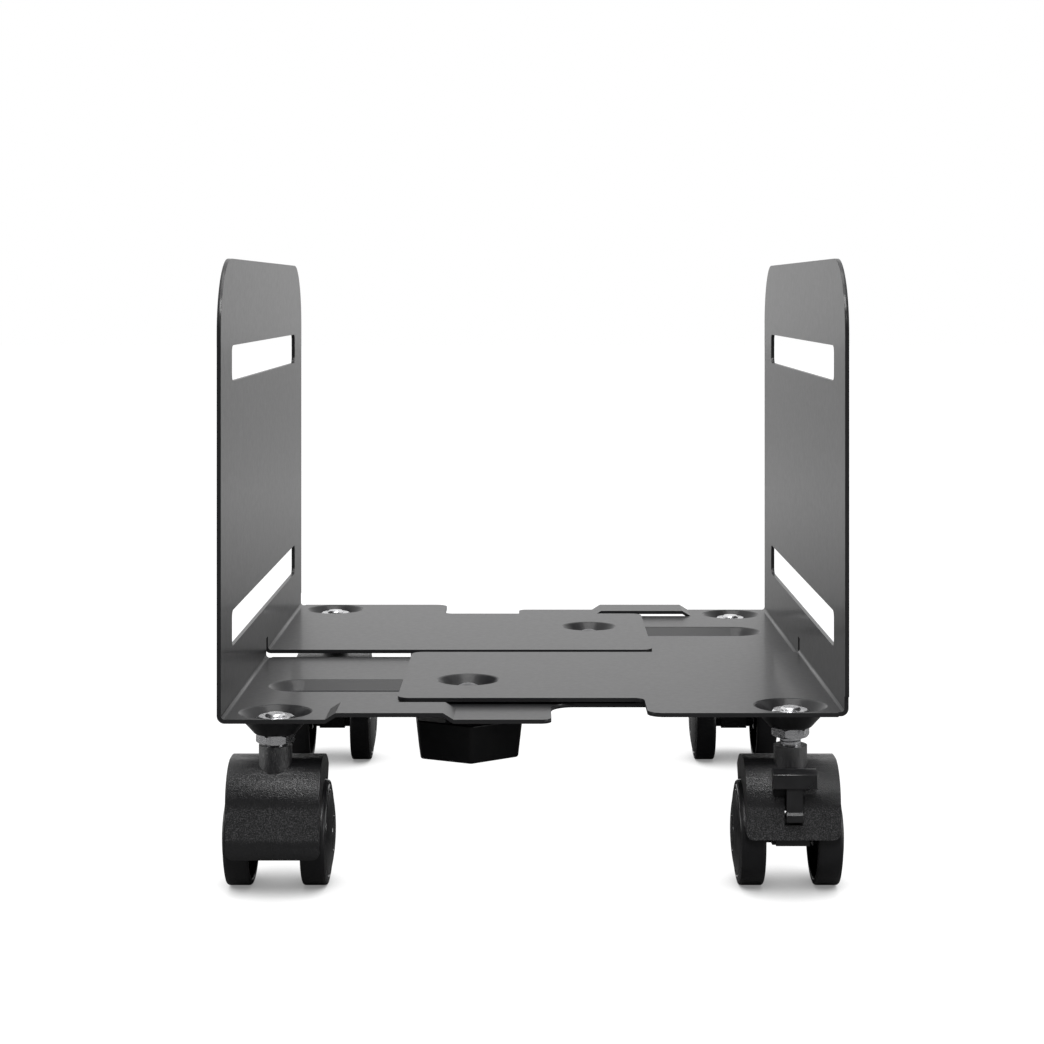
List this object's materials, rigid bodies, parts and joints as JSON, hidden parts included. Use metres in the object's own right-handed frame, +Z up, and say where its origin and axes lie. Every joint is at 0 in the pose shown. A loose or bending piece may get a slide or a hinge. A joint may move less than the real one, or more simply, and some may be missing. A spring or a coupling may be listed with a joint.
{
  "type": "mobile computer tower stand",
  "caption": "Steel stand on twin-wheel casters that carries a desktop computer tower, with two folded brackets that slide to its width and clamp with hand knobs",
  "frame": {"origin": "middle of the footprint, on the floor under the wheels", "axes": "+X across the width to the right panel, +Y to the rear along the panels, +Z up"},
  "size_m": [0.2414, 0.27, 0.244],
  "materials": {
    "bracket_steel": "satin black powder coat",
    "zinc": "bright zinc plate",
    "knob_plastic": "satin moulded",
    "hood_nylon": "fine spark-eroded grain",
    "wheel_plastic": "smooth moulded",
    "brass": "machined"
  },
  "bodies": {
    "left_side": {"left_bracket": "bracket_steel", "rear_clamp_bolt": "zinc", "front_left_stem": "zinc", "front_left_top_nut": "zinc", "front_left_lock_nut": "zinc", "front_left_stem_ring": "zinc", "rear_left_stem": "zinc", "rear_left_top_nut": "zinc", "rear_left_lock_nut": "zinc", "rear_left_stem_ring": "zinc"},
    "right_side": {"right_bracket": "bracket_steel", "front_clamp_bolt": "zinc", "front_right_stem": "zinc", "front_right_top_nut": "zinc", "front_right_lock_nut": "zinc", "front_right_stem_ring": "zinc", "rear_right_stem": "zinc", "rear_right_top_nut": "zinc", "rear_right_lock_nut": "zinc", "rear_right_stem_ring": "zinc"},
    "front_clamp_lift": {"front_clamp_washer": "zinc"},
    "front_knob": {"front_clamp_knob": "knob_plastic", "front_knob_insert": "brass"},
    "rear_clamp_lift": {"rear_clamp_washer": "zinc"},
    "rear_knob": {"rear_clamp_knob": "knob_plastic", "rear_knob_insert": "brass"},
    "front_left_caster": {"front_left_hood": "hood_nylon", "front_left_axle": "zinc"},
    "front_left_left_wheel": {"front_left_left_wheel": "wheel_plastic"},
    "front_left_right_wheel": {"front_left_right_wheel": "wheel_plastic"},
    "front_right_caster": {"front_right_hood": "hood_nylon", "front_right_axle": "zinc", "front_right_brake_pin": "zinc"},
    "front_right_left_wheel": {"front_right_left_wheel": "wheel_plastic"},
    "front_right_right_wheel": {"front_right_right_wheel": "wheel_plastic"},
    "front_right_brake": {"front_right_brake_lever": "hood_nylon"},
    "rear_left_caster": {"rear_left_hood": "hood_nylon", "rear_left_axle": "zinc", "rear_left_brake_pin": "zinc"},
    "rear_left_left_wheel": {"rear_left_left_wheel": "wheel_plastic"},
    "rear_left_right_wheel": {"rear_left_right_wheel": "wheel_plastic"},
    "rear_left_brake": {"rear_left_brake_lever": "hood_nylon"},
    "rear_right_caster": {"rear_right_hood": "hood_nylon", "rear_right_axle": "zinc"},
    "rear_right_left_wheel": {"rear_right_left_wheel": "wheel_plastic"},
    "rear_right_right_wheel": {"rear_right_right_wheel": "wheel_plastic"}
  },
  "joints": [
    {"name": "width_slide", "type": "slide", "parent": "left_side", "child": "right_side", "axis": [1, 0, 0], "range_m": [-0.05, 0]},
    {"name": "front_clamp_lower", "type": "slide", "parent": "right_side", "child": "front_clamp_lift", "axis": [0, 0, -1], "range_m": [0, 0.002]},
    {"name": "front_knob_turn", "type": "hinge", "parent": "front_clamp_lift", "child": "front_knob", "pos_m": [-0.0266, -0.0675, 0.05], "axis": [0, 0, -1], "range_deg": [0, 720]},
    {"name": "rear_clamp_lower", "type": "slide", "parent": "left_side", "child": "rear_clamp_lift", "axis": [0, 0, -1], "range_m": [0, 0.002]},
    {"name": "rear_knob_turn", "type": "hinge", "parent": "rear_clamp_lift", "child": "rear_knob", "pos_m": [0.0266, 0.0675, 0.05], "axis": [0, 0, -1], "range_deg": [0, 720]},
    {"name": "front_left_swivel", "type": "hinge", "parent": "left_side", "child": "front_left_caster", "pos_m": [-0.099, -0.1202, 0.045], "axis": [0, 0, 1], "continuous": true},
    {"name": "front_left_left_wheel_spin", "type": "hinge", "parent": "front_left_caster", "child": "front_left_left_wheel", "pos_m": [-0.099, -0.1077, 0.02], "axis": [1, 0, 0], "continuous": true},
    {"name": "front_left_right_wheel_spin", "type": "hinge", "parent": "front_left_caster", "child": "front_left_right_wheel", "pos_m": [-0.099, -0.1077, 0.02], "axis": [1, 0, 0], "continuous": true},
    {"name": "front_right_swivel", "type": "hinge", "parent": "right_side", "child": "front_right_caster", "pos_m": [0.099, -0.1202, 0.045], "axis": [0, 0, 1], "continuous": true},
    {"name": "front_right_left_wheel_spin", "type": "hinge", "parent": "front_right_caster", "child": "front_right_left_wheel", "pos_m": [0.099, -0.1077, 0.02], "axis": [1, 0, 0], "continuous": true},
    {"name": "front_right_right_wheel_spin", "type": "hinge", "parent": "front_right_caster", "child": "front_right_right_wheel", "pos_m": [0.099, -0.1077, 0.02], "axis": [1, 0, 0], "continuous": true},
    {"name": "front_right_brake_press", "type": "hinge", "parent": "front_right_caster", "child": "front_right_brake", "pos_m": [0.099, -0.1288, 0.033], "axis": [1, 0, 0], "range_deg": [0, 8]},
    {"name": "rear_left_swivel", "type": "hinge", "parent": "left_side", "child": "rear_left_caster", "pos_m": [-0.099, 0.1202, 0.045], "axis": [0, 0, 1], "continuous": true},
    {"name": "rear_left_left_wheel_spin", "type": "hinge", "parent": "rear_left_caster", "child": "rear_left_left_wheel", "pos_m": [-0.099, 0.1077, 0.02], "axis": [1, 0, 0], "continuous": true},
    {"name": "rear_left_right_wheel_spin", "type": "hinge", "parent": "rear_left_caster", "child": "rear_left_right_wheel", "pos_m": [-0.099, 0.1077, 0.02], "axis": [1, 0, 0], "continuous": true},
    {"name": "rear_left_brake_press", "type": "hinge", "parent": "rear_left_caster", "child": "rear_left_brake", "pos_m": [-0.099, 0.1288, 0.033], "axis": [-1, 0, 0], "range_deg": [0, 8]},
    {"name": "rear_right_swivel", "type": "hinge", "parent": "right_side", "child": "rear_right_caster", "pos_m": [0.099, 0.1202, 0.045], "axis": [0, 0, 1], "continuous": true},
    {"name": "rear_right_left_wheel_spin", "type": "hinge", "parent": "rear_right_caster", "child": "rear_right_left_wheel", "pos_m": [0.099, 0.1077, 0.02], "axis": [1, 0, 0], "continuous": true},
    {"name": "rear_right_right_wheel_spin", "type": "hinge", "parent": "rear_right_caster", "child": "rear_right_right_wheel", "pos_m": [0.099, 0.1077, 0.02], "axis": [1, 0, 0], "continuous": true}
  ],
  "couplings": [
    {"joint": "front_clamp_lower", "follows": "front_knob_turn", "m_per_rad": 0.00015915},
    {"joint": "rear_clamp_lower", "follows": "rear_knob_turn", "m_per_rad": 0.00015915}
  ]
}
